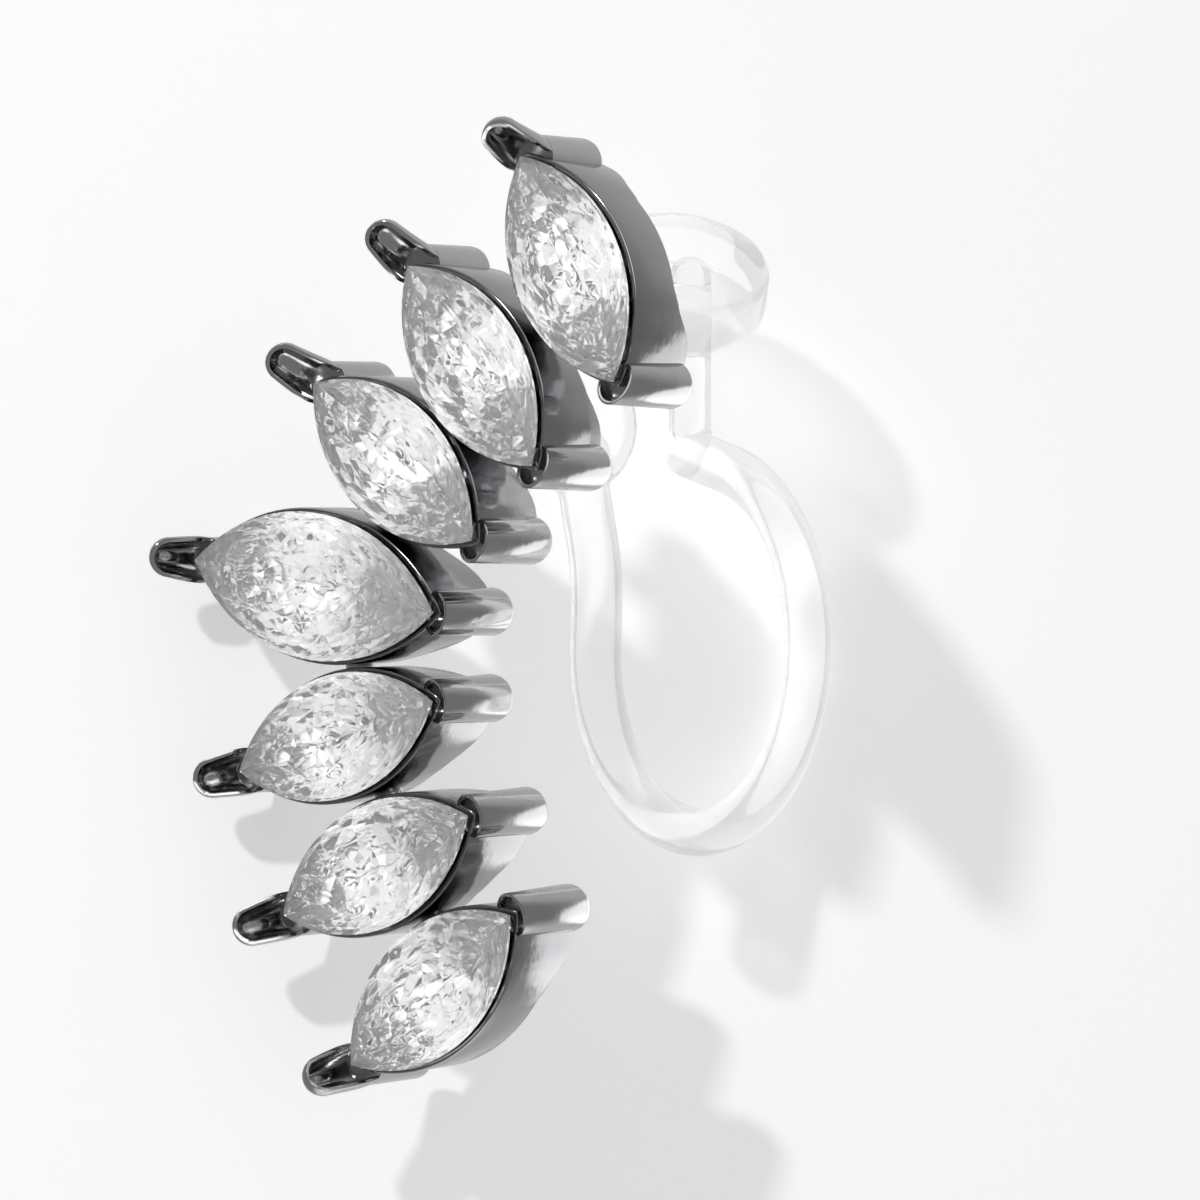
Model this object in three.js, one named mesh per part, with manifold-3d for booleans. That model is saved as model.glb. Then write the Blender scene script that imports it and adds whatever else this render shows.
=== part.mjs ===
// A clip-on earring: a crescent of seven marquise stones in claw cups, on a clear resin clip.
// Millimetres, +Z up. The earring rests on its lowest points, with its stones facing -Y.

import * as THREE from 'three';
import { ConvexGeometry } from 'three/addons/geometries/ConvexGeometry.js';
import { mergeVertices } from 'three/addons/utils/BufferGeometryUtils.js';
import Module from 'manifold-3d';

const wasm = await Module();
wasm.setup();

// ---- Driving dimensions ------------------------------------------------------------------

// The stones lie in one plane, with their girdles at height 0 of the crescent's own frame: X
// runs from the crescent's outer side to its hollow side, Y up the crescent, and Z out of the
// stones. Turn is the angle of a stone's long axis in degrees. Out and rise are where the round
// end of the claw on the stone's outer tip is, out from the tip and up from the girdle.
const STONE_ROWS = [
  { number: 1, size: 'small', x: 4.57, y: 7.54, turn: -52, out: 0.39, rise: 0.42 },
  { number: 2, size: 'small', x: 2.73, y: 5.2, turn: -41.5, out: 0.65, rise: 0.26 },
  { number: 3, size: 'small', x: 1.33, y: 2.92, turn: -27.2, out: 0.65, rise: 0.3 },
  { number: 4, size: 'large', x: -0.04, y: 0, turn: 2.7, out: 0.35, rise: 0.45 },
  { number: 5, size: 'small', x: 1.185, y: -2.87, turn: 30.6, out: 0.45, rise: 0.36 },
  { number: 6, size: 'small', x: 2.71, y: -5.2, turn: 38.5, out: 0.48, rise: 0.5 },
  { number: 7, size: 'small', x: 4.57, y: -7.31, turn: 52.8, out: 0.25, rise: 0.75 },
];
const STONE_SIZES = {
  small: { length: 5, width: 2.5 },
  large: { length: 6, width: 3 },
};

// Proportions of a marquise brilliant, heights to its width and facet rings to its girdle.
const MAIN_FACETS = 8;
const GIRDLE_THICKNESS = 0.08;
const CROWN_TO_WIDTH = 0.14;
const PAVILION_TO_WIDTH = 0.42;
const TABLE_RING = 0.56;
const STAR_RING = { scale: 0.79, height: 0.56 };
const LOWER_RING = { scale: 0.36, height: 0.72 };

// A cup's wall stands just outside its stone's outline and ends below the girdle.
const STONE_GAP = 0.08;
const CUP_REACH = 0.12;
const CUP_DEPTH = 1.7;
const RIM_HEIGHT = -0.12;
const OUTLINE_STEPS = 8;

// A round post at each tip of a stone ends above the rim in a claw that leans out: a channel
// with a round end, narrower than the post, with thin walls and open towards the stone.
const POST = { radius: 0.5, depth: 2.4, steps: 12 };
const CLAW = { radius: 0.34, root: -0.45, steps: 10 };
const INNER_CLAW = { out: 0.16, rise: 0.1 };
const GROOVE = { wall: 0.1, root: 0.1, floor: 0.06, open: 0.7 };

// Near its posts a cup's wall is deeper: it slopes down over a reach from the stone's tip.
const GUSSET = { reach: 1.3, foot: 0.5, depth: 2.2 };
const SOLDER = { radius: 0.3, depth: 1.3, steps: 8 };

// The clip lies in a plane square to the backs of the cups, turned by its lean. Its places are
// given as back, away from the cups, and up, both from the middle of the pad's rear face.
const PAD = { x: 3.68, y: 4.19, radius: 1.37, thickness: 0.75, edge: 0.1, gap: 0.06 };
const SEAT = { radius: 1.0, height: 0.9 };
const CLIP_LEAN = 12.7;
const WIRE = { radius: 0.55, sides: 10, steps: 36 };
const ARM = [
  { back: -0.15, up: -0.6 },
  { back: 0.1, up: -1.6 },
  { back: 0.48, up: -3.0 },
];
const LOOP = { back: 4.9, up: -4.65, halfDepth: 4.44, halfHeight: 3.92, from: 180, to: 440 };
const ELBOW = { back: 4.25, up: -0.5, radius: 0.56 };
const STEM = { radius: 0.46, back: 4.25, up: 3.25 };
const DISC = { radius: 2.0, thickness: 1.25, edge: 0.22, back: 1.4, up: 3.7, tilt: 37, twist: 41 };
const NUB = { radius: 0.14, height: 0.12 };
const ROUND_STEPS = 24;

// The way up, in the crescent's frame, as the earring lies on the round ends of the outer posts
// of stones 4 and 5 and on its loop, and its turn about that way.
const REST_UP = new THREE.Vector3(0.7537, 0.3904, 0.5286);
const FACING = 66;

// ---- Solids --------------------------------------------------------------------------------

const radians = THREE.MathUtils.degToRad;

function solidFrom(geometry) {
  const bare = geometry.clone();
  bare.deleteAttribute('normal');
  bare.deleteAttribute('uv');
  const merged = mergeVertices(bare, 1e-5);
  const mesh = new wasm.Mesh({
    numProp: 3,
    vertProperties: new Float32Array(merged.getAttribute('position').array),
    triVerts: new Uint32Array(merged.index.array),
  });
  return new wasm.Manifold(mesh);
}

function geometryFrom(solid) {
  const mesh = solid.getMesh();
  const geometry = new THREE.BufferGeometry();
  geometry.setAttribute('position', new THREE.BufferAttribute(mesh.vertProperties, 3));
  geometry.setIndex(new THREE.BufferAttribute(mesh.triVerts, 1));
  geometry.computeVertexNormals();
  return geometry;
}

function joined(solids) {
  return solids.reduce((whole, solid) => whole.add(solid));
}

// A round bar along a curve, with square ends.
function bar(curve, radius, sides, steps) {
  const section = new THREE.Shape();
  section.absarc(0, 0, radius, 0, 2 * Math.PI, false);
  return new THREE.ExtrudeGeometry(section, {
    curveSegments: sides / 2,
    steps,
    extrudePath: curve,
  });
}

function ball(place, radius, sides) {
  const geometry = new THREE.SphereGeometry(radius, sides, sides / 2);
  return geometry.translate(place.x, place.y, place.z);
}

// A disc about the Y axis with its top face at 0, both its edges rounded.
function roundedDisc(radius, thickness, edge) {
  const profile = new THREE.Path();
  profile.moveTo(0, -thickness);
  profile.lineTo(radius - edge, -thickness);
  profile.absarc(radius - edge, edge - thickness, edge, -Math.PI / 2, 0, false);
  profile.absarc(radius - edge, -edge, edge, 0, Math.PI / 2, false);
  profile.lineTo(0, 0);
  return new THREE.LatheGeometry(profile.getPoints(3), ROUND_STEPS);
}

// ---- Marquise outline ------------------------------------------------------------------------

// The outline is two equal arcs that meet in a point at each end, grown outwards by an offset.
function marquiseArc(size, offset) {
  const halfLength = size.length / 2;
  const halfWidth = size.width / 2;
  const radius = (halfLength ** 2 + halfWidth ** 2) / (2 * halfWidth);
  const centre = radius - halfWidth;
  const grown = radius + offset;
  return { centre, radius: grown, halfAngle: Math.acos(centre / grown) };
}

function marquiseShape(size, offset) {
  const { centre, radius, halfAngle } = marquiseArc(size, offset);
  const quarter = Math.PI / 2;
  const shape = new THREE.Shape();
  shape.absarc(0, -centre, radius, quarter - halfAngle, quarter + halfAngle, false);
  shape.absarc(0, centre, radius, -quarter - halfAngle, -quarter + halfAngle, false);
  return shape;
}

// The place on the outline at a share of the way round, from the tip on +X.
function marquisePlace(size, share) {
  const { centre, radius, halfAngle } = marquiseArc(size, 0);
  const side = share < 0.5 ? 1 : -1;
  const along = share < 0.5 ? share * 2 : share * 2 - 1;
  const angle = Math.PI / 2 + halfAngle * (2 * along - 1);
  return new THREE.Vector2(
    side * radius * Math.cos(angle),
    side * (radius * Math.sin(angle) - centre),
  );
}

function marquisePrism(size, offset, from, to) {
  const geometry = new THREE.ExtrudeGeometry(marquiseShape(size, offset), {
    depth: to - from,
    bevelEnabled: false,
    curveSegments: OUTLINE_STEPS,
  });
  return solidFrom(geometry.translate(0, 0, from));
}

// ---- Stones ------------------------------------------------------------------------------------

function facetRing(size, count, start, scale, height) {
  return Array.from({ length: count }, (_, index) => {
    const place = marquisePlace(size, ((index + start) / count) % 1);
    return new THREE.Vector3(place.x * scale, place.y * scale, height);
  });
}

// The corners of the stone: table, stars, both edges of the girdle, lower halves and culet.
function stoneCorners(size) {
  const crown = size.width * CROWN_TO_WIDTH + GIRDLE_THICKNESS / 2;
  const pavilion = size.width * PAVILION_TO_WIDTH + GIRDLE_THICKNESS / 2;
  const girdle = MAIN_FACETS * 4;
  return [
    ...facetRing(size, MAIN_FACETS, 0, TABLE_RING, crown),
    ...facetRing(size, MAIN_FACETS, 0.5, STAR_RING.scale, crown * STAR_RING.height),
    ...facetRing(size, girdle, 0, 1, GIRDLE_THICKNESS / 2),
    ...facetRing(size, girdle, 0, 1, -GIRDLE_THICKNESS / 2),
    ...facetRing(size, MAIN_FACETS, 0.5, LOWER_RING.scale, -pavilion * LOWER_RING.height),
    new THREE.Vector3(0, 0, -pavilion),
  ];
}

function stoneSolid(size) {
  return solidFrom(new ConvexGeometry(stoneCorners(size)));
}

// The room for a stone in its cup: the stone grown by the gap all round, open above.
function stoneRoom(size) {
  const grown = { length: size.length + 4 * STONE_GAP, width: size.width + 2 * STONE_GAP };
  const bowl = size.width * PAVILION_TO_WIDTH + GIRDLE_THICKNESS / 2 + STONE_GAP;
  const outline = MAIN_FACETS * 2;
  return solidFrom(new ConvexGeometry([
    ...facetRing(grown, outline, 0, 1, POST.depth),
    ...facetRing(grown, outline, 0, 1, -GIRDLE_THICKNESS / 2 - STONE_GAP),
    ...facetRing(grown, MAIN_FACETS, 0.5, LOWER_RING.scale, -bowl * LOWER_RING.height),
    new THREE.Vector3(0, 0, -bowl),
  ]));
}

// ---- Setting -----------------------------------------------------------------------------------

// One solid round the given points.
function hull(points) {
  return solidFrom(new ConvexGeometry(points));
}

function ballPoints(place, radius) {
  const position = ball(place, radius, CLAW.steps).getAttribute('position');
  return Array.from({ length: position.count }, (_, k) => {
    return new THREE.Vector3().fromBufferAttribute(position, k);
  });
}

function circlePoints(radius, height) {
  return Array.from({ length: POST.steps }, (_, k) => {
    const angle = (2 * Math.PI * k) / POST.steps;
    return new THREE.Vector3(radius * Math.cos(angle), radius * Math.sin(angle), height);
  });
}

// The claw leans out along +X from the full width of its post to its own round end.
function claw({ out, rise }) {
  const end = new THREE.Vector3(out, 0, rise);
  return hull([...circlePoints(POST.radius, CLAW.root), ...ballPoints(end, CLAW.radius)]);
}

// The channel in a claw, as deep at its end as its wall allows and open away from the lean.
function clawGroove({ out, rise }) {
  const root = new THREE.Vector3(0, 0, GROOVE.root);
  const end = new THREE.Vector3(out, 0, rise);
  const along = end.clone().sub(new THREE.Vector3(0, 0, CLAW.root)).normalize();
  const open = new THREE.Vector3(-along.z, 0, along.x);
  const radii = [POST.radius - GROOVE.wall, CLAW.radius - GROOVE.wall];
  return hull([root, end].flatMap((place, k) => [GROOVE.floor, GROOVE.open].flatMap((lift) => {
    return ballPoints(place.clone().addScaledVector(open, lift), radii[k]);
  })));
}

function post() {
  const length = POST.depth - POST.radius / 2;
  const geometry = new THREE.CylinderGeometry(POST.radius, POST.radius, length, POST.steps);
  const shank = solidFrom(geometry.rotateX(Math.PI / 2).translate(0, 0, -length / 2));
  const end = ball(new THREE.Vector3(), POST.radius, POST.steps).scale(1, 1, 0.5);
  return shank.add(solidFrom(end.translate(0, 0, -length)));
}

// The two tips of a stone, its outer one on -X; make takes the claw's place there.
function atBothTips(make, row) {
  const reach = STONE_SIZES[row.size].length / 2;
  const inner = make(INNER_CLAW).translate([reach, 0, 0]);
  const outer = make(row).translate([reach, 0, 0]).rotate([0, 0, 180]);
  return inner.add(outer);
}

// The wall's outline near the tip on +X, as far back from the tip as the reach.
function tipOutline(size, reach, height) {
  const { centre, radius, halfAngle } = marquiseArc(size, CUP_REACH);
  const tip = radius * Math.sin(halfAngle);
  const back = Math.asin((tip - reach) / radius);
  return [halfAngle, (halfAngle + back) / 2, back].flatMap((angle) => [1, -1].map((side) => {
    return new THREE.Vector3(
      radius * Math.sin(angle),
      side * (radius * Math.cos(angle) - centre),
      height,
    );
  }));
}

function gusset(size) {
  const { reach, foot, depth } = GUSSET;
  return hull([
    ...tipOutline(size, reach, -CUP_DEPTH / 2),
    ...tipOutline(size, reach, -CUP_DEPTH),
    ...tipOutline(size, foot, -depth),
  ]);
}

function placed(solid, row) {
  return solid.rotate([0, 0, row.turn]).translate([row.x, row.y, 0]);
}

function cup(row) {
  const size = STONE_SIZES[row.size];
  const corner = gusset(size);
  const wall = marquisePrism(size, CUP_REACH, -CUP_DEPTH, RIM_HEIGHT);
  const body = wall.add(corner).add(corner.rotate([0, 0, 180]));
  return placed(body.add(atBothTips((place) => post().add(claw(place)), row)), row);
}

function cupHollow(row) {
  return placed(stoneRoom(STONE_SIZES[row.size]).add(atBothTips(clawGroove, row)), row);
}

// Neighbouring cups are soldered together where they all but touch.
function solderJoint(row, next) {
  const from = new THREE.Vector3(row.x, row.y, -SOLDER.depth);
  const to = new THREE.Vector3(next.x, next.y, -SOLDER.depth);
  return solidFrom(bar(new THREE.LineCurve3(from, to), SOLDER.radius, SOLDER.steps, 1));
}

function clipSeat() {
  const geometry = new THREE.CylinderGeometry(SEAT.radius, SEAT.radius, SEAT.height, ROUND_STEPS);
  geometry.rotateX(Math.PI / 2).translate(PAD.x, PAD.y, SEAT.height / 2 - POST.depth);
  return solidFrom(geometry);
}

function settingFrame() {
  const joints = STONE_ROWS.slice(1).map((row, index) => solderJoint(STONE_ROWS[index], row));
  const whole = joined([...STONE_ROWS.map(cup), ...joints, clipSeat()]);
  return whole.subtract(joined(STONE_ROWS.map(cupHollow)));
}

// ---- Clip --------------------------------------------------------------------------------------

// In the clip's own frame X is back, Y is up and Z is its side.
function clipPlace({ back, up }) {
  return new THREE.Vector3(back, up, 0);
}

function loopPlace(angle) {
  const back = LOOP.back + LOOP.halfDepth * Math.cos(radians(angle));
  const up = LOOP.up + LOOP.halfHeight * Math.sin(radians(angle));
  return clipPlace({ back, up });
}

function loopCurve() {
  const turns = 14;
  const step = (LOOP.to - LOOP.from) / turns;
  const round = Array.from({ length: turns + 1 }, (_, k) => loopPlace(LOOP.from + k * step));
  return new THREE.CatmullRomCurve3([...ARM.map(clipPlace), ...round, clipPlace(ELBOW)]);
}

function backDisc() {
  const disc = roundedDisc(DISC.radius, DISC.thickness, DISC.edge);
  const nub = new THREE.CylinderGeometry(NUB.radius, NUB.radius, DISC.edge + NUB.height, 12);
  const nubPlace = DISC.radius + (NUB.height - DISC.edge) / 2;
  nub.rotateZ(Math.PI / 2).translate(nubPlace, -DISC.thickness / 2, 0);
  const turn = new THREE.Matrix4().makeRotationZ(radians(DISC.tilt));
  const twist = new THREE.Matrix4().makeRotationY(radians(DISC.twist));
  const place = new THREE.Matrix4().makeTranslation(DISC.back, DISC.up, 0);
  const stand = new THREE.Matrix4().makeTranslation(STEM.back, 0, 0);
  const whole = stand.multiply(twist).multiply(place).multiply(turn);
  return solidFrom(disc.applyMatrix4(whole)).add(solidFrom(nub.applyMatrix4(whole)));
}

function resinClip() {
  const pad = roundedDisc(PAD.radius, PAD.thickness, PAD.edge).rotateZ(-Math.PI / 2);
  const wire = bar(loopCurve(), WIRE.radius, WIRE.sides, WIRE.steps);
  const stemLine = new THREE.LineCurve3(clipPlace(ELBOW), clipPlace(STEM));
  const stem = bar(stemLine, STEM.radius, WIRE.sides, 1);
  return joined([
    solidFrom(pad),
    solidFrom(wire),
    solidFrom(ball(loopCurve().getPoint(0), WIRE.radius, WIRE.sides)),
    solidFrom(ball(clipPlace(ELBOW), ELBOW.radius, WIRE.sides)),
    solidFrom(stem),
    solidFrom(ball(clipPlace(STEM), STEM.radius, WIRE.sides)),
    backDisc(),
  ]);
}

// ---- Assembly ----------------------------------------------------------------------------------

function finish(color, metalness, roughness) {
  return new THREE.MeshStandardMaterial({ color, metalness, roughness });
}

const polishedMetal = () => finish(0x8c8c8e, 1, 0.18);
const clearStone = () => finish(0xf4f4f6, 0, 0.02);
const clearResin = () => finish(0xf7f7f7, 0, 0.12);

function piece(name, solid, material) {
  const mesh = new THREE.Mesh(geometryFrom(solid), material);
  mesh.name = name;
  return mesh;
}

const crescent = new THREE.Group();
crescent.add(piece('setting_frame', settingFrame(), polishedMetal()));
for (const row of STONE_ROWS) {
  const stone = piece(`stone_${row.number}`, stoneSolid(STONE_SIZES[row.size]), clearStone());
  stone.position.set(row.x, row.y, 0);
  stone.rotation.z = radians(row.turn);
  crescent.add(stone);
}

const clipStand = new THREE.Group();
clipStand.position.set(PAD.x, PAD.y, -POST.depth - PAD.gap - PAD.thickness);
clipStand.rotation.set(0, Math.PI / 2, radians(CLIP_LEAN), 'ZYX');
clipStand.add(piece('resin_clip', resinClip(), clearResin()));
crescent.add(clipStand);

const standing = new THREE.Group();
standing.quaternion.setFromUnitVectors(REST_UP.clone().normalize(), new THREE.Vector3(0, 0, 1));
standing.add(crescent);

const earring = new THREE.Group();
earring.rotation.z = radians(FACING);
earring.add(standing);
const box = new THREE.Box3().setFromObject(earring, true);
const middle = box.getCenter(new THREE.Vector3());
earring.position.set(-middle.x, -middle.y, -box.min.z);
export default earring;
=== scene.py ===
"""A clip-on earring: seven marquise stones in soldered claw cups, on a clear resin clip."""

import math

import bmesh
import bpy
from bpy.props import FloatProperty, FloatVectorProperty, IntProperty, PointerProperty
from mathutils import Matrix, Vector


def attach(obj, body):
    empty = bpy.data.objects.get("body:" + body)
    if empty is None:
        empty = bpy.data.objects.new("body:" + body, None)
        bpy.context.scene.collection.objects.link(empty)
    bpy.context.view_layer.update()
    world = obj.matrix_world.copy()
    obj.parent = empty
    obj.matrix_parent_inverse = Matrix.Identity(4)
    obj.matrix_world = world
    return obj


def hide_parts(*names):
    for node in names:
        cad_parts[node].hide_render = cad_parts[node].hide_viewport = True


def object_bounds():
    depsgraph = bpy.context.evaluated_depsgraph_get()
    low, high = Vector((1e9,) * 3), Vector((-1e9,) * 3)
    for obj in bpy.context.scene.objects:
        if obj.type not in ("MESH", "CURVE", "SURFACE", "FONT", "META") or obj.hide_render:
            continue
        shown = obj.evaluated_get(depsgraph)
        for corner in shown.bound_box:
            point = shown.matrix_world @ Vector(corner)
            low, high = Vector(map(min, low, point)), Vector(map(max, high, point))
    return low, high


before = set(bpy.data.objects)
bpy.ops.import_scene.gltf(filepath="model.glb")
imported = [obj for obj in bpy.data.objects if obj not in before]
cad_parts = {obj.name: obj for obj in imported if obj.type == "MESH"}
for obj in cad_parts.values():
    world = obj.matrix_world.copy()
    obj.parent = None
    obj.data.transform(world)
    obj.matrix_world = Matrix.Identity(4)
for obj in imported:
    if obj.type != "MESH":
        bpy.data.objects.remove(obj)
CAD_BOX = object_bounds()

bl_info = {
    "name": "Marquise Clip Earring",
    "version": (1, 0, 0),
    "blender": (4, 5, 0),
    "location": "View3D > Sidebar > Earring",
    "description": "Cuts the stones, casts the claw cups and moulds the clip of an earring",
    "category": "Add Mesh",
}

MM = 0.001

# The crescent's own frame, in millimetres: X from its outer side to its hollow side, Y up
# the crescent and Z out of the stones, with the girdles at height 0.
REST_UP = Vector((0.7537, 0.3904, 0.5286))
FACING = math.radians(66)
MIDDLE_STONE = Vector((-0.04, 0.0))

# The cups: the steps in each arc of an outline, the share of a cup's height that is hollow, where
# its wall starts to run deeper and where it is deepest, in from the stone's tip, and its bevel.
OUTLINE_STEPS = 32
CUP_HOLLOW = 0.85
FLARE_REACH = 1.5
FLARE_FOOT = 0.3
RIM_BEVEL = 0.035

# The posts: how far back they go and the bevel round their ends, and on the inner ones the
# collar's height, the depth of its hollow and the bevel on its lip.
POST_DEPTH = 2.4
POST_BEVEL = 0.21
COLLAR_TOP = -0.08
COLLAR_DEPTH = 0.35
LIP_BEVEL = 0.02

# Where the round end of the claw on each stone's outer tip is, out from the tip and up from the
# girdle, from the top stone down. Each inner tip sits in a short open collar on its post.
OUTER_CLAWS = (
    (0.39, 0.42), (0.65, 0.26), (0.65, 0.3), (0.35, 0.45), (0.45, 0.36), (0.48, 0.5), (0.25, 0.75),
)
CLAW_ROOT = -0.45
# How far round a claw's wall goes, to either side of its outermost line.
CLAW_WRAP = math.radians(100)
CLAW_BEVEL = 0.025

# The solder between two cups, and the seat behind the second cup that carries the clip's pad.
SOLDER_RADIUS = 0.3
SOLDER_LENGTH = 0.9
SOLDER_DEPTH = 1.3
SEAT_RADIUS = 0.75
SEAT_HEIGHT = 0.9

# The clip's route, back from the cups and up, from the middle of its pad's rear face.
PAD_PLACE = Vector((3.68, 4.19, -3.21))
PAD_EDGE = 0.12
CLIP_LEAN = math.radians(12.7)
ARM = ((-0.15, -0.6), (0.1, -1.6), (0.48, -3.0))
LOOP_MIDDLE = Vector((4.9, -4.65))
LOOP_HALF = Vector((4.44, 3.92))
LOOP_FROM = math.radians(180)
LOOP_TO = math.radians(440)
ELBOW = Vector((4.25, -0.5))
STEM_TOP = 3.25
DISC_PLACE = Vector((1.4, 3.7))
DISC_TILT = math.radians(37)
DISC_TWIST = math.radians(41)
DISC_EDGE = 0.22

# The stage, in metres: half the floor's width, the radii of the two light tents, and the key
# light's size and its place from the earring, as the camera sees it (right, up, towards).
FLOOR_HALF = 1.5
METAL_TENT_RADIUS = 0.04
STONE_TENT_RADIUS = 0.041
KEY_SIZE = 0.014
KEY_PLACE = Vector((-0.12, 0.16, 0.2))


# ---- Sizes and finishes that a user would change ---------------------------------------------


class StoneSettings(bpy.types.PropertyGroup):
    crown_height: FloatProperty(
        name="Crown height", description="Height above the girdle, as a share of the width",
        default=0.14, min=0.08, max=0.2, subtype="FACTOR",
    )
    pavilion_depth: FloatProperty(
        name="Pavilion depth", description="Depth below the girdle, as a share of the width",
        default=0.4, min=0.3, max=0.5, subtype="FACTOR",
    )
    table: FloatProperty(
        name="Table", description="Size of the table, as a share of the outline",
        default=0.5, min=0.3, max=0.7, subtype="FACTOR",
    )
    keel: FloatProperty(
        name="Keel", description="Length of the pavilion's keel, as a share of the length",
        default=0.24, min=0.0, max=0.5, subtype="FACTOR",
    )
    girdle: FloatProperty(
        name="Girdle", description="Thickness of the girdle, in mm", default=0.08,
    )


class SettingSettings(bpy.types.PropertyGroup):
    reach: FloatProperty(
        name="Wall reach", description="How far a cup's wall stands outside its stone, in mm",
        default=0.08,
    )
    rim: FloatProperty(
        name="Rim", description="Height of the cup's rim over the girdle, in mm", default=-0.2,
    )
    rim_width: FloatProperty(
        name="Rim width", description="Width of the cup's flat rim, in mm", default=0.12,
    )
    depth: FloatProperty(name="Cup depth", description="Depth of a cup's back, in mm", default=1.7)
    flare: FloatProperty(
        name="Flare", description="How much deeper a cup's wall is at its posts, in mm",
        default=0.66,
    )
    post_front: FloatProperty(
        name="Post front", description="Radius of a post at its claw, in mm", default=0.47,
    )
    post_back: FloatProperty(
        name="Post back", description="Radius of a post at its back end, in mm", default=0.5,
    )
    claw_radius: FloatProperty(
        name="Claw end", description="Radius of a claw's round end, in mm", default=0.42,
    )
    collar: FloatProperty(
        name="Collar", description="Radius of the open collar at an inner tip, in mm", default=0.45,
    )
    collar_lean: FloatProperty(
        name="Collar lean", description="Rise of a collar's lip away from its stone", default=0.55,
    )
    claw_belly: FloatProperty(
        name="Claw belly", description="How much wider a claw is where it holds its stone, in mm",
        default=0.03,
    )
    claw_wall: FloatProperty(
        name="Claw wall", description="Thickness of a claw's or a collar's wall, in mm",
        default=0.09,
    )


class ClipSettings(bpy.types.PropertyGroup):
    wire_radius: FloatProperty(
        name="Wire radius", description="Radius of the clip's loop, in mm", default=0.55,
    )
    stem_radius: FloatProperty(
        name="Stem radius", description="Radius of the stem to the back disc, in mm", default=0.46,
    )
    pad_radius: FloatProperty(
        name="Pad radius", description="Radius of the pad behind the cups, in mm", default=1.37,
    )
    pad_thickness: FloatProperty(
        name="Pad thickness", description="Thickness of the pad, in mm", default=0.75,
    )
    disc_radius: FloatProperty(
        name="Disc radius", description="Radius of the disc behind the ear, in mm", default=2.0,
    )
    disc_thickness: FloatProperty(
        name="Disc thickness", description="Thickness of the disc, in mm", default=1.25,
    )
    voxel: FloatProperty(
        name="Voxel", description="Grid size that the moulded surface is made on, in mm",
        default=0.06,
    )
    smoothing: IntProperty(
        name="Smoothing", description="Smoothing passes over the moulded surface", default=14,
    )


class FinishSettings(bpy.types.PropertyGroup):
    metal: FloatVectorProperty(
        name="Metal", description="Colour of the plated metal", subtype="COLOR",
        default=(0.52, 0.52, 0.53),
    )
    # The cups' plate colour is darker than the posts' as painted shade: it darkens every cup wall
    # the way the shadowed floor it reflects would. The cups are no less polished than the posts and
    # get the same roughness.
    cup_metal_painted_shade: FloatVectorProperty(
        name="Cup metal", description="Colour of the plate on the cups, which is less polished",
        subtype="COLOR", default=(0.36, 0.36, 0.37),
    )
    stone: FloatVectorProperty(
        name="Stone", description="Tint of the stones", subtype="COLOR", default=(1.0, 1.0, 1.0),
    )
    resin: FloatVectorProperty(
        name="Resin", description="Tint of the clip", subtype="COLOR", default=(1.0, 1.0, 1.0),
    )


class StageSettings(bpy.types.PropertyGroup):
    azimuth: FloatProperty(
        name="Azimuth", description="The camera's place round the earring",
        default=math.radians(18.0), subtype="ANGLE",
    )
    elevation: FloatProperty(
        name="Elevation", description="The camera's height over the floor",
        default=math.radians(62.4), subtype="ANGLE",
    )
    roll: FloatProperty(
        name="Roll", description="The camera's turn about its own view",
        default=math.radians(64.5), subtype="ANGLE",
    )
    ambient: FloatProperty(name="Ambient", description="Brightness of the room", default=0.34)
    floor_glow: FloatProperty(
        name="Floor glow", description="Light that the pale floor gives of its own", default=0.42,
    )
    metal_tent: FloatProperty(
        name="Metal tent", description="Brightness that the metal reflects between panels",
        default=0.3,
    )
    stone_tent: FloatProperty(
        name="Stone tent", description="Brightness that the stones show between panels",
        default=1.4,
    )
    key_power: FloatProperty(
        name="Key", description="Power of the key light", default=0.34, unit="POWER",
    )
    lens: FloatProperty(
        name="Lens", description="The camera's focal length", default=150.0, unit="CAMERA",
    )
    fill: FloatProperty(
        name="Fill", description="Share of the picture that the earring's sphere takes",
        default=0.92, min=0.2, max=1.5,
    )


# ---- Mesh helpers ------------------------------------------------------------------------------


def crescent_matrix():
    """The crescent's frame: its turn from how the earring lies, its place from the nodes."""
    lie = REST_UP.normalized().rotation_difference(Vector((0, 0, 1))).to_matrix()
    turn = Matrix.Rotation(FACING, 3, "Z") @ lie
    stone = [turn.inverted() @ v.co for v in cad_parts["stone_4"].data.vertices]
    metal = [turn.inverted() @ v.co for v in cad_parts["setting_frame"].data.vertices]
    x = (min(p.x for p in stone) + max(p.x for p in stone)) / 2 - MIDDLE_STONE.x * MM
    y = (min(p.y for p in stone) + max(p.y for p in stone)) / 2 - MIDDLE_STONE.y * MM
    z = min(p.z for p in metal) + POST_DEPTH * MM
    place = turn @ Vector((x, y, z))
    return Matrix.Translation(place) @ turn.to_4x4() @ Matrix.Scale(MM, 4)


CRESCENT = crescent_matrix()
CLIP = (
    CRESCENT
    @ Matrix.Translation(PAD_PLACE)
    @ Matrix.Rotation(CLIP_LEAN, 4, "Z")
    @ Matrix.Rotation(math.pi / 2, 4, "Y")
)


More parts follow.
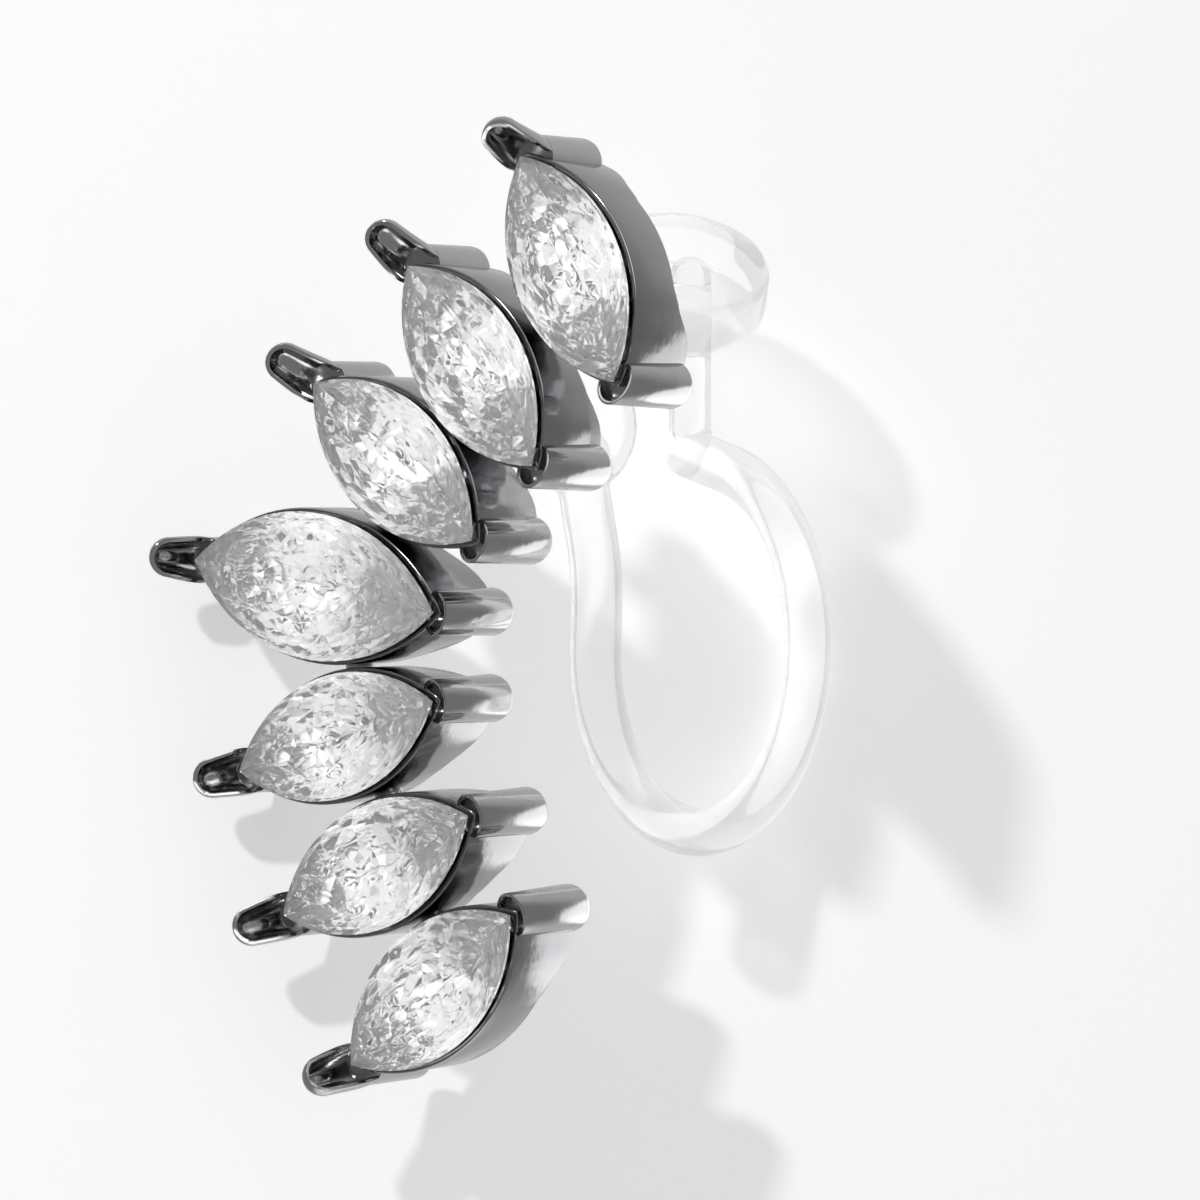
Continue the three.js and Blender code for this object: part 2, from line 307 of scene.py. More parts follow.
def stone_rows():
    """Each stone's place, turn and size in the crescent's frame, read from its node."""
    rows = []
    for number, claw in enumerate(OUTER_CLAWS, 1):
        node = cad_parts[f"stone_{number}"]
        points = [(CRESCENT.inverted() @ v.co).xy for v in node.data.vertices]
        low = Vector((min(p.x for p in points), min(p.y for p in points)))
        high = Vector((max(p.x for p in points), max(p.y for p in points)))
        middle = (low + high) / 2
        tip = max((p - middle for p in points), key=lambda p: p.length)
        tip = tip if tip.x > 0 else -tip
        rows.append({
            "name": f"stone_{number}",
            "place": Matrix.Translation((middle.x, middle.y, 0))
            @ Matrix.Rotation(math.atan2(tip.y, tip.x), 4, "Z"),
            "length": 2 * tip.length,
            "width": tip.length,
            "claw": claw,
        })
    return rows


def finished(bm, name, material, matrix, node, smooth_angle=None):
    """Puts a bmesh in place as a piece that stands for a node."""
    bmesh.ops.transform(bm, matrix=matrix, verts=bm.verts)
    mesh = bpy.data.meshes.new(name)
    bm.to_mesh(mesh)
    bm.free()
    piece = bpy.data.objects.new(name, mesh)
    bpy.context.scene.collection.objects.link(piece)
    if smooth_angle is not None:
        mesh.shade_smooth()
        mesh.set_sharp_from_angle(angle=smooth_angle)
    mesh.materials.append(material)
    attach(piece, "root")
    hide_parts(node)
    return piece


def marquise_arc(length, width, offset):
    """Radius, half angle and centre distance of each of the outline's two arcs, grown by offset."""
    radius = (length ** 2 + width ** 2) / (4 * width)
    centre = radius - width / 2
    return radius + offset, math.acos(centre / (radius + offset)), centre


def marquise_face(bm, length, width, offset, height):
    """A flat face with the stone's outline, grown by offset."""
    radius, half_angle, centre = marquise_arc(length, width, offset)
    for side in (1, -1):
        middle = Vector((0, -side * centre, height))
        start = middle + Vector((
            side * radius * math.sin(half_angle), side * radius * math.cos(half_angle), 0,
        ))
        vertex = bmesh.ops.create_vert(bm, co=start)["vert"]
        bmesh.ops.spin(
            bm, geom=vertex, cent=middle, axis=(0, 0, 1), angle=2 * half_angle,
            steps=OUTLINE_STEPS,
        )
    bmesh.ops.remove_doubles(bm, verts=bm.verts, dist=1e-4)
    return bmesh.ops.contextual_create(bm, geom=bm.edges[:])["faces"][0]


def raised(bm, face, height):
    """Extrudes a face along Z and gives the face at the far end."""
    out = bmesh.ops.extrude_face_region(bm, geom=[face])["geom"]
    verts = [g for g in out if isinstance(g, bmesh.types.BMVert)]
    bmesh.ops.translate(bm, vec=(0, 0, height), verts=verts)
    return next(g for g in out if isinstance(g, bmesh.types.BMFace))


def appended(bm, other, matrix=None):
    """Adds another bmesh, put in place by matrix."""
    if matrix is not None:
        bmesh.ops.transform(other, matrix=matrix, verts=other.verts)
    mesh = bpy.data.meshes.new("part")
    other.to_mesh(mesh)
    other.free()
    bm.from_mesh(mesh)
    bpy.data.meshes.remove(mesh)


# ---- Materials -----------------------------------------------------------------------------------


def node_tree(name):
    """A new material with its tree and its main shader."""
    material = bpy.data.materials.new(name)
    material.use_nodes = True
    tree = material.node_tree
    return material, tree, tree.nodes["Principled BSDF"]


def object_noise(tree, scale, detail=3.0):
    """Soft noise through the piece, at a scale per metre."""
    coords = tree.nodes.new("ShaderNodeTexCoord")
    noise = tree.nodes.new("ShaderNodeTexNoise")
    noise.inputs["Scale"].default_value = scale
    noise.inputs["Detail"].default_value = detail
    tree.links.new(coords.outputs["Object"], noise.inputs["Vector"])
    return noise.outputs["Fac"]


def spread(tree, factor, low, high):
    """Turns a factor into a number between low and high."""
    ramp = tree.nodes.new("ShaderNodeMapRange")
    ramp.inputs["From Min"].default_value = 0.3
    ramp.inputs["From Max"].default_value = 0.7
    ramp.inputs["To Min"].default_value = low
    ramp.inputs["To Max"].default_value = high
    tree.links.new(factor, ramp.inputs["Value"])
    return ramp.outputs["Result"]


def shaded(tree, factor, colour, dark):
    """A colour that noise takes down to a share of itself."""
    mix = tree.nodes.new("ShaderNodeMix")
    mix.data_type = "RGBA"
    mix.inputs["A"].default_value = (*[c * dark for c in colour], 1)
    mix.inputs["B"].default_value = (*colour, 1)
    tree.links.new(factor, mix.inputs["Factor"])
    return mix.outputs["Result"]


def bumped(tree, factor, distance, strength, normal=None):
    """A normal that follows a factor as height, over another bump if there is one."""
    bump = tree.nodes.new("ShaderNodeBump")
    bump.inputs["Distance"].default_value = distance
    bump.inputs["Strength"].default_value = strength
    tree.links.new(factor, bump.inputs["Height"])
    if normal is not None:
        tree.links.new(normal, bump.inputs["Normal"])
    return bump.outputs["Normal"]


def plated_metal(name, colour):
    """Dark rhodium plate over cast metal, with soft polish marks."""
    material, tree, shader = node_tree(name)
    shader.inputs["Metallic"].default_value = 1.0
    broad = object_noise(tree, 900.0)
    fine = object_noise(tree, 6000.0, 4.0)
    tree.links.new(shaded(tree, broad, colour, 0.82), shader.inputs["Base Color"])
    tree.links.new(spread(tree, broad, 0.09, 0.18), shader.inputs["Roughness"])
    wavy = bumped(tree, broad, 0.03 * MM, 0.6)
    tree.links.new(bumped(tree, fine, 0.004 * MM, 0.4, wavy), shader.inputs["Normal"])
    return material


def cut_crystal(colour):
    """Colourless cut glass, faintly cloudy inside."""
    material, tree, shader = node_tree("cut_crystal")
    shader.inputs["IOR"].default_value = 1.7
    shader.inputs["Transmission Weight"].default_value = 1.0
    cloud = object_noise(tree, 1500.0)
    tree.links.new(shaded(tree, cloud, colour, 0.94), shader.inputs["Base Color"])
    tree.links.new(spread(tree, cloud, 0.0, 0.02), shader.inputs["Roughness"])
    return material


def foiled_back():
    """The silvered backing of a stone's lower facets, part mirror and part white."""
    material, tree, shader = node_tree("foiled_back")
    shader.inputs["Metallic"].default_value = 0.7
    grain = object_noise(tree, 2500.0)
    tree.links.new(shaded(tree, grain, (0.97, 0.97, 0.98), 0.95), shader.inputs["Base Color"])
    tree.links.new(spread(tree, grain, 0.0, 0.03), shader.inputs["Roughness"])
    coords = tree.nodes.new("ShaderNodeTexCoord")
    crystals = tree.nodes.new("ShaderNodeTexVoronoi")
    crystals.inputs["Scale"].default_value = 2300.0
    tree.links.new(coords.outputs["Object"], crystals.inputs["Vector"])
    tree.links.new(
        bumped(tree, crystals.outputs["Distance"], 0.09 * MM, 1.0), shader.inputs["Normal"],
    )
    return material


def clear_resin(colour):
    """Moulded clear resin with a slightly wavy, glossy skin."""
    material, tree, shader = node_tree("clear_resin")
    shader.inputs["IOR"].default_value = 1.36
    shader.inputs["Transmission Weight"].default_value = 1.0
    shader.inputs["Alpha"].default_value = 0.42
    wave = object_noise(tree, 700.0)
    tree.links.new(shaded(tree, wave, colour, 0.97), shader.inputs["Base Color"])
    tree.links.new(spread(tree, wave, 0.03, 0.1), shader.inputs["Roughness"])
    tree.links.new(bumped(tree, wave, 0.02 * MM, 0.4), shader.inputs["Normal"])
    return material


# ---- Stones --------------------------------------------------------------------------------------


def outline_place(row, share):
    """The place on the outline at a share of the way round, from the inner tip."""
    radius, half_angle, centre = marquise_arc(row["length"], row["width"], 0)
    side = 1 if share < 0.5 else -1
    angle = half_angle * (4 * (share % 0.5) - 1)
    return Vector((
        -side * radius * math.sin(angle), side * (radius * math.cos(angle) - centre), 0,
    ))


def facet_corners(bm, row, count, start, scale, height):
    """A ring of facet corners: the outline's shape at a scale and a height."""
    for index in range(count):
        place = outline_place(row, (index + start) / count % 1.0) * scale
        bmesh.ops.create_vert(bm, co=place + Vector((0, 0, height)))


# The rings of facet corners over and under the girdle: how many corners, how far round the first
# is, as a share of their spacing, and their scale. The pavilion curves down by PAVILION_CURVE.
CROWN_RINGS = ((8, 0.5, 0.74, 0.66), (16, 0.25, 0.88, 0.36))
PAVILION_RINGS = ((24, 0.5, 0.86), (24, 0.0, 0.7), (16, 0.5, 0.54), (12, 0.0, 0.38), (8, 0.5, 0.2))
PAVILION_CURVE = 1.25
TABLE_CORNERS = 8
GIRDLE_CORNERS = 48


def brilliant(row, stone):
    """A marquise brilliant: the convex body round its rings of facet corners."""
    bm = bmesh.new()
    half = stone.girdle / 2
    crown = row["width"] * stone.crown_height
    pavilion = row["width"] * stone.pavilion_depth
    facet_corners(bm, row, TABLE_CORNERS, 0, stone.table, half + crown)
    for count, start, scale, share in CROWN_RINGS:
        facet_corners(bm, row, count, start, scale, half + crown * share)
    for height in (half, -half):
        facet_corners(bm, row, GIRDLE_CORNERS, 0, 1, height)
    for count, start, scale in PAVILION_RINGS:
        depth = pavilion * (1 - scale ** PAVILION_CURVE)
        facet_corners(bm, row, count, start, scale, -half - depth)
    for side in (1, -1):
        keel = Vector((side * row["length"] / 2 * stone.keel, 0, -half - pavilion))
        bmesh.ops.create_vert(bm, co=keel)
    made = bmesh.ops.convex_hull(bm, input=bm.verts[:])
    inside = [g for g in made["geom_interior"] if isinstance(g, bmesh.types.BMVert)]
    bmesh.ops.delete(bm, geom=inside, context="VERTS")
    bmesh.ops.dissolve_limit(
        bm, angle_limit=math.radians(0.5), verts=bm.verts[:], edges=bm.edges[:],
    )
    bmesh.ops.recalc_face_normals(bm, faces=bm.faces)
    for face in bm.faces:
        face.material_index = int(face.normal.z < -0.1)
    return bm


class EARRING_OT_cut_stones(bpy.types.Operator):
    """Cut the seven marquise brilliants"""

    bl_idname = "earring.cut_stones"
    bl_label = "Cut Stones"

    def execute(self, context):
        scene = context.scene
        crystal = cut_crystal(scene.earring_finish.stone)
        foil = foiled_back()
        for row in stone_rows():
            bm = brilliant(row, scene.earring_stone)
            piece = finished(
                bm, f"cut_{row['name']}", crystal, CRESCENT @ row["place"], row["name"],
            )
            piece.data.materials.append(foil)
        return {"FINISHED"}


# ---- Setting -------------------------------------------------------------------------------------


def bevelled(bm, edges, width, segments):
    """Rounds some edges."""
    bmesh.ops.bevel(
        bm, geom=edges, offset=width, segments=segments, profile=0.5, affect="EDGES",
        material=-1, clamp_overlap=True,
    )


def cup_shell(row, cast):
    """A cup: a marquise wall, deeper at its tips, with a narrow rim and a hollow for the stone."""
    bm = bmesh.new()
    back = marquise_face(bm, row["length"], row["width"], cast.reach, -cast.depth)
    rim = raised(bm, back, cast.depth + cast.rim)
    bmesh.ops.recalc_face_normals(bm, faces=bm.faces)
    bmesh.ops.inset_region(bm, faces=[rim], thickness=cast.rim_width, use_even_offset=True)
    raised(bm, rim, -(cast.depth + cast.rim) * CUP_HOLLOW)
    bmesh.ops.delete(bm, geom=[rim], context="FACES_ONLY")
    tip = row["length"] / 2
    for vertex in bm.verts:
        if vertex.co.z < -cast.depth + 0.01:
            near = (abs(vertex.co.x) - tip + FLARE_REACH) / (FLARE_REACH - FLARE_FOOT)
            near = min(1.0, max(0.0, near))
            vertex.co.z -= cast.flare * near * near * (3 - 2 * near)
    bmesh.ops.recalc_face_normals(bm, faces=bm.faces)
    sharp = [e for e in bm.edges if e.calc_face_angle(0) > math.radians(50)]
    level = [e for e in sharp if abs(e.verts[0].co.z - e.verts[1].co.z) < 0.2]
    bevelled(bm, level, RIM_BEVEL, 3)
    # Every cup face takes the second slot, the darker plate that paints shade onto the cup walls.
    for face in bm.faces:
        face.material_index = 1
    return bm


def post_bar(cast):
    """The round post at a stone's tip, slightly wider at its rounded back end."""
    bm = bmesh.new()
    bmesh.ops.create_cone(
        bm, cap_ends=True, segments=48, radius1=cast.post_back, radius2=cast.post_front,
        depth=POST_DEPTH + CLAW_ROOT,
        matrix=Matrix.Translation((0, 0, (CLAW_ROOT - POST_DEPTH) / 2)),
    )
    ends = [e for e in bm.edges if all(v.co.z < CLAW_ROOT - 1 for v in e.verts)]
    bevelled(bm, ends, POST_BEVEL, 5)
    return bm


def collar_bar(cast):
    """The post at a stone's inner tip: its front end is an open collar that the tip sits in."""
    bm = bmesh.new()
    bmesh.ops.create_cone(
        bm, cap_ends=True, segments=48, radius1=cast.post_back, radius2=cast.collar,
        depth=POST_DEPTH + COLLAR_TOP,
        matrix=Matrix.Translation((0, 0, (COLLAR_TOP - POST_DEPTH) / 2)),
    )
    front = next(f for f in bm.faces if f.normal.z > 0.9)
    bmesh.ops.inset_region(bm, faces=[front], thickness=cast.claw_wall, use_even_offset=True)
    raised(bm, front, -COLLAR_DEPTH)
    bmesh.ops.delete(bm, geom=[front], context="FACES_ONLY")
    for vertex in bm.verts:
        if vertex.co.z > COLLAR_TOP - 0.01:
            vertex.co.z += vertex.co.x * cast.collar_lean
    bmesh.ops.recalc_face_normals(bm, faces=bm.faces)
    ends = [e for e in bm.edges if all(v.co.z < CLAW_ROOT - 1 for v in e.verts)]
    sharp = [e for e in bm.edges if e.calc_face_angle(0) > math.radians(40)]
    lip = [e for e in sharp if all(v.co.z > CLAW_ROOT + 0.1 for v in e.verts)]
    bevelled(bm, ends, POST_BEVEL, 5)
    bevelled(bm, lip, LIP_BEVEL, 2)
    return bm


def leaned(point, place, length):
    """Bends a point of an upright claw over, so that its round end's middle comes to its place."""
    out, rise = place
    start, knee, end = Vector((0, CLAW_ROOT)), Vector((0, CLAW_ROOT * 0.35)), Vector((out, rise))
    share = min(1.0, max(0.0, point.z / length))
    middle = start * (1 - share) ** 2 + knee * 2 * share * (1 - share) + end * share ** 2
    along = ((knee - start) * (1 - share) + (end - knee) * share).normalized()
    middle += along * (point.z - share * length)
    return Vector((middle.x + point.x * along.y, point.y, middle.y - point.x * along.x))


def claw_shell(cast, place):
    """A claw: a tapering channel with thin walls and a round end, open towards the stone."""
    bm = bmesh.new()
    length = 0.5 * (math.hypot(place[0], place[1] - CLAW_ROOT) + place[0] + place[1] - CLAW_ROOT)
    turn = Matrix.Rotation(-CLAW_WRAP, 3, "Z")
    steps, end_steps = 7, 6
    profile = []
    for step in range(steps + 1):
        share = step / steps
        radius = cast.post_front + (cast.claw_radius - cast.post_front) * share ** 2
        radius += cast.claw_belly * math.sin(math.pi * share)
        profile.append(Vector((radius, 0, length * share)))
    for step in range(1, end_steps + 1):
        angle = math.pi / 2 * step / end_steps
        profile.append(Vector((
            cast.claw_radius * math.cos(angle), 0, length + cast.claw_radius * math.sin(angle),
        )))
    verts = [bmesh.ops.create_vert(bm, co=turn @ p)["vert"][0] for p in profile]
    edges = [bm.edges.new(pair) for pair in zip(verts, verts[1:])]
    bmesh.ops.spin(
        bm, geom=verts + edges, cent=(0, 0, 0), axis=(0, 0, 1), angle=2 * CLAW_WRAP, steps=22,
    )
    bmesh.ops.remove_doubles(bm, verts=bm.verts, dist=1e-4)
    bmesh.ops.recalc_face_normals(bm, faces=bm.faces)
    if sum(f.normal.dot(f.calc_center_median() - Vector((0, 0, length / 2))) for f in bm.faces) < 0:
        bmesh.ops.reverse_faces(bm, faces=bm.faces)
    bmesh.ops.solidify(bm, geom=bm.faces[:], thickness=cast.claw_wall)
    bmesh.ops.recalc_face_normals(bm, faces=bm.faces)
    for vertex in bm.verts:
        vertex.co = leaned(vertex.co, place, length)
    rim = [e for e in bm.edges if e.calc_face_angle(0) > math.radians(55)]
    bevelled(bm, rim, CLAW_BEVEL, 2)
    return bm


def solder_joint(row, after):
    """A short bar of solder between two neighbouring cups."""
    bm = bmesh.new()
    start, end = row["place"].translation, after["place"].translation
    along = end - start
    middle = start + along * row["width"] / (row["width"] + after["width"])
    turn = Vector((0, 0, 1)).rotation_difference(along).to_matrix().to_4x4()
    bmesh.ops.create_cone(
        bm, cap_ends=True, segments=24, radius1=SOLDER_RADIUS, radius2=SOLDER_RADIUS,
        depth=SOLDER_LENGTH,
        matrix=Matrix.Translation(middle - Vector((0, 0, SOLDER_DEPTH))) @ turn,
    )
    return bm


def clip_seat():
    """The round seat behind the second cup that carries the clip's pad."""
    bm = bmesh.new()
    bmesh.ops.create_cone(
        bm, cap_ends=True, segments=40, radius1=SEAT_RADIUS, radius2=SEAT_RADIUS,
        depth=SEAT_HEIGHT,
        matrix=Matrix.Translation((PAD_PLACE.x, PAD_PLACE.y, SEAT_HEIGHT / 2 - POST_DEPTH)),
    )
    return bm


class EARRING_OT_cast_setting(bpy.types.Operator):
    """Cast the claw cups and solder them into one crescent"""

    bl_idname = "earring.cast_setting"
    bl_label = "Cast Setting"

    def execute(self, context):
        scene = context.scene
        cast = scene.earring_setting
        rows = stone_rows()
        whole = bmesh.new()
        for row in rows:
            appended(whole, cup_shell(row, cast), row["place"])
            tip = Matrix.Translation((row["length"] / 2, 0, 0))
            back = Matrix.Rotation(math.pi, 4, "Z")
            appended(whole, collar_bar(cast), row["place"] @ tip)
            appended(whole, post_bar(cast), row["place"] @ back @ tip)
            appended(whole, claw_shell(cast, row["claw"]), row["place"] @ back @ tip)
        for row, after in zip(rows, rows[1:]):
            appended(whole, solder_joint(row, after))
        appended(whole, clip_seat())
        finish = scene.earring_finish
        piece = finished(
            whole, "claw_setting", plated_metal("plated_posts", finish.metal), CRESCENT,
            "setting_frame", math.radians(40),
        )
        # The second slot is the same plate in a darker colour: painted shade for the cup walls.
        piece.data.materials.append(plated_metal("plated_cups_painted_shade", finish.cup_metal_painted_shade))
        return {"FINISHED"}


# ---- Clip ----------------------------------------------------------------------------------------


def rod(bm, points, radius):
    """A round rod along a line of points, with rounded ends."""
    segments = 24
    curve = bpy.data.curves.new("rod", "CURVE")
    curve.dimensions = "3D"
    curve.bevel_depth = radius
    curve.bevel_resolution = segments // 4
    curve.use_fill_caps = True
    spline = curve.splines.new("POLY")
    spline.points.add(len(points) - 1)
    for place, point in zip(spline.points, points):
        place.co = (*point, 1)
    holder = bpy.data.objects.new("rod", curve)
    bpy.context.scene.collection.objects.link(holder)
    mesh = holder.to_mesh()
    bm.from_mesh(mesh)
    holder.to_mesh_clear()
    bpy.data.objects.remove(holder)
    bpy.data.curves.remove(curve)
    for end in (points[0], points[-1]):
        bmesh.ops.create_uvsphere(
            bm, u_segments=segments, v_segments=segments // 2, radius=radius,
            matrix=Matrix.Translation(end),
        )


def round_plate(bm, radius, thickness, edge, matrix):
    """A disc about Z with its face at height 0 and both its edges rounded."""
    made = bmesh.ops.create_cone(
        bm, cap_ends=True, segments=96, radius1=radius, radius2=radius, depth=thickness,
        matrix=Matrix.Translation((0, 0, -thickness / 2)),
    )["verts"]
    edges = {e for v in made for e in v.link_edges if abs(e.verts[0].co.z - e.verts[1].co.z) < 1e-5}
    inner = [e for e in edges if all(abs(v.co.xy.length - radius) < 1e-4 for v in e.verts)]
    out = bmesh.ops.bevel(
        bm, geom=inner, offset=edge, segments=5, profile=0.5, affect="EDGES", material=-1,
    )
    verts = {v for f in out["faces"] for v in f.verts} | {v for v in made if v.is_valid}
    bmesh.ops.transform(bm, matrix=matrix, verts=list(verts))


def smooth_route(points, steps):
    """A smooth line through points, by Catmull-Rom."""
    line = []
    padded = [points[0], *points, points[-1]]
    for a, b, c, d in zip(padded, padded[1:], padded[2:], padded[3:]):
        for step in range(steps):
            t = step / steps
            line.append(0.5 * (
                2 * b + (c - a) * t + (2 * a - 5 * b + 4 * c - d) * t * t
                + (3 * b - a - 3 * c + d) * t ** 3
            ))
    return [*line, points[-1]]


def wire_route():
    """The clip's route in its own plane: arm, loop and elbow."""
    turns = 28
    loop = []
    for k in range(turns + 1):
        angle = LOOP_FROM + (LOOP_TO - LOOP_FROM) * k / turns
        loop.append(Vector((
            LOOP_MIDDLE.x + LOOP_HALF.x * math.cos(angle),
            LOOP_MIDDLE.y + LOOP_HALF.y * math.sin(angle),
            0,
        )))
    arm = [Vector((*place, 0)) for place in ARM]
    return smooth_route([*arm, *loop, ELBOW.to_3d()], 4)


def clip_parts(clip):
    """The clip's pad, wire, stem and disc, still as parts that run into each other."""
    bm = bmesh.new()
    round_plate(
        bm, clip.pad_radius, clip.pad_thickness, PAD_EDGE, Matrix.Rotation(math.pi / 2, 4, "Y"),
    )
    rod(bm, wire_route(), clip.wire_radius)
    stem = [ELBOW.to_3d(), Vector((ELBOW.x, STEM_TOP, 0))]
    rod(bm, stem, clip.stem_radius)
    stand = (
        Matrix.Translation((ELBOW.x, 0, 0))
        @ Matrix.Rotation(DISC_TWIST, 4, "Y")
        @ Matrix.Translation(DISC_PLACE.to_3d())
        @ Matrix.Rotation(DISC_TILT, 4, "Z")
        @ Matrix.Rotation(-math.pi / 2, 4, "X")
    )
    round_plate(bm, clip.disc_radius, clip.disc_thickness, DISC_EDGE, stand)
    return bm


def moulded(piece, voxel, smoothing):
    """Makes one closed skin round a piece's parts and smooths it."""
    remesh = piece.modifiers.new("skin", "REMESH")
    remesh.mode = "VOXEL"
    remesh.voxel_size = voxel
    depsgraph = bpy.context.evaluated_depsgraph_get()
    mesh = bpy.data.meshes.new_from_object(piece.evaluated_get(depsgraph))
    bm = bmesh.new()
    bm.from_mesh(mesh)
    for _ in range(smoothing):
        bmesh.ops.smooth_vert(
            bm, verts=bm.verts, factor=0.5, use_axis_x=True, use_axis_y=True, use_axis_z=True,
        )
    bm.to_mesh(mesh)
    bm.free()
    materials = piece.data.materials[:]
    piece.modifiers.clear()
    piece.data = mesh
    mesh.materials.clear()
    for material in materials:
        mesh.materials.append(material)
    mesh.shade_smooth()


class EARRING_OT_mould_clip(bpy.types.Operator):
    """Mould the resin clip in one piece"""

    bl_idname = "earring.mould_clip"
    bl_label = "Mould Clip"

    def execute(self, context):
        scene = context.scene
        clip = scene.earring_clip
        piece = finished(
            clip_parts(clip), "moulded_clip", clear_resin(scene.earring_finish.resin), CLIP,
            "resin_clip",
        )
        moulded(piece, clip.voxel * MM, clip.smoothing)
        return {"FINISHED"}


# ---- Stage ---------------------------------------------------------------------------------------


def area_light(name, place, target, size, power):
    """A round soft light that faces a target."""
    data = bpy.data.lights.new(name, "AREA")
    data.shape = "DISK"
    data.size = size
    data.energy = power
    light = bpy.data.objects.new(name, data)
    light.location = place
    light.rotation_mode = "QUATERNION"
    light.rotation_quaternion = (target - place).to_track_quat("-Z", "Y")
    bpy.context.scene.collection.objects.link(light)


def studio_world(scene, strength):
    """A plain white room."""
    world = bpy.data.worlds.new("studio")
    world.use_nodes = True
    background = world.node_tree.nodes["Background"]
    background.inputs["Color"].default_value = (1, 1, 1, 1)
    background.inputs["Strength"].default_value = strength
    scene.world = world


def pale_floor(glow):
    """A sheet of pale paper under the earring."""
    bm = bmesh.new()
    bmesh.ops.create_grid(bm, x_segments=1, y_segments=1, size=FLOOR_HALF)
    mesh = bpy.data.meshes.new("floor")
    bm.to_mesh(mesh)
    bm.free()
    floor = bpy.data.objects.new("floor", mesh)
    bpy.context.scene.collection.objects.link(floor)
    material, tree, shader = node_tree("floor_paper")
    shader.inputs["Base Color"].default_value = (0.9, 0.9, 0.9, 1)
    shader.inputs["Roughness"].default_value = 0.8
    shader.inputs["Specular IOR Level"].default_value = 0.1
    shader.inputs["Emission Color"].default_value = (1, 1, 1, 1)
    shader.inputs["Emission Strength"].default_value = glow
    mesh.materials.append(material)
    floor.visible_glossy = False


# The panels of the two light tents round the earring: what the metal reflects and what the light
# through the stones meets. A panel has a direction, as the camera sees it (right, up, towards), a
# half width and an edge in degrees, and its brightness over the tent's own.
METAL_PANELS = (
    {"way": (0.79, -0.26, -0.56), "half": 25, "edge": 2.5, "glow": 1.4},
    {"way": (0.3, -0.62, -0.72), "half": 38, "edge": 16, "glow": 0.4},
    {"way": (0.35, 0.62, -0.7), "half": 46, "edge": 20, "glow": 0.34},
    {"way": (0.08, -0.96, 0.08), "half": 30, "edge": 10, "glow": 0.75},
    {"way": (0.31, 0.54, 0.78), "half": 15, "edge": 5, "glow": 2.0},
    {"way": (-0.05, -0.87, 0.48), "half": 11, "edge": 3, "glow": 1.2},
    {"way": (-0.6, 0.75, 0.2), "half": 12, "edge": 5, "glow": 1.2},
    {"way": (-0.92, -0.03, 0.4), "half": 34, "edge": 10, "glow": -0.12},
)
STONE_PANELS = (
    {"way": (0.0, 0.0, 1.0), "half": 13, "edge": 3, "glow": -0.6},
    {"way": (0.7, 0.2, 0.6), "half": 11, "edge": 3, "glow": -0.65},
    {"way": (-0.5, -0.6, 0.6), "half": 13, "edge": 3, "glow": -0.55},
    {"way": (0.1, 0.8, 0.55), "half": 10, "edge": 3, "glow": -0.65},
    {"way": (-0.85, 0.35, 0.3), "half": 12, "edge": 3, "glow": -0.5},
    {"way": (0.5, -0.75, 0.4), "half": 11, "edge": 3, "glow": -0.6},
    {"way": (0.97, -0.2, 0.1), "half": 14, "edge": 4, "glow": -0.4},
    {"way": (-0.4, 0.45, 0.75), "half": 12, "edge": 4, "glow": 0.8},
)


def panelled_cloth(name, turn, centre, base, panels):
    """Tent cloth that glows by direction from the centre."""
    material = bpy.data.materials.new(name)
    material.use_nodes = True
    material.cycles.emission_sampling = "NONE"
    tree = material.node_tree
    tree.nodes.clear()
    coords = tree.nodes.new("ShaderNodeTexCoord")
    offset = tree.nodes.new("ShaderNodeVectorMath")
    offset.operation = "SUBTRACT"
    offset.inputs[1].default_value = (centre.x, centre.y, 0)
    unit = tree.nodes.new("ShaderNodeVectorMath")
    unit.operation = "NORMALIZE"
    tree.links.new(coords.outputs["Object"], offset.inputs[0])
    tree.links.new(offset.outputs["Vector"], unit.inputs[0])
    total = None
    for panel in panels:
        dot = tree.nodes.new("ShaderNodeVectorMath")
        dot.operation = "DOT_PRODUCT"
        dot.inputs[1].default_value = turn @ Vector(panel["way"]).normalized()
        tree.links.new(unit.outputs["Vector"], dot.inputs[0])
        ramp = tree.nodes.new("ShaderNodeMapRange")
        ramp.interpolation_type = "SMOOTHSTEP"
        half, edge = panel["half"], panel["edge"]
        ramp.inputs["From Min"].default_value = math.cos(math.radians(half + edge))
        ramp.inputs["From Max"].default_value = math.cos(math.radians(half - edge))
        ramp.inputs["To Max"].default_value = panel["glow"]
        tree.links.new(dot.outputs["Value"], ramp.inputs["Value"])
        added = tree.nodes.new("ShaderNodeMath")
        added.operation = "ADD"
        tree.links.new(ramp.outputs["Result"], added.inputs[0])
        if total is None:
            added.inputs[1].default_value = base
        else:
            tree.links.new(total, added.inputs[1])
        total = added.outputs["Value"]
    emission = tree.nodes.new("ShaderNodeEmission")
    output = tree.nodes.new("ShaderNodeOutputMaterial")
    tree.links.new(total, emission.inputs["Strength"])
    tree.links.new(emission.outputs["Emission"], output.inputs["Surface"])
    return material


def light_tent(name, radius, centre, material, seen_by):
    """A dome that only one kind of ray sees: reflections off metal or light through the stones."""
    bm = bmesh.new()
    bmesh.ops.create_icosphere(
        bm, subdivisions=4, radius=radius, matrix=Matrix.Translation((centre.x, centre.y, 0)),
    )
    mesh = bpy.data.meshes.new(name)
    bm.to_mesh(mesh)
    bm.free()
    tent = bpy.data.objects.new(name, mesh)
    bpy.context.scene.collection.objects.link(tent)
    tent.visible_camera = False
    tent.visible_diffuse = False
    tent.visible_shadow = False
    tent.visible_glossy = seen_by == "glossy"
    tent.visible_transmission = seen_by == "transmission"
    mesh.materials.append(material)


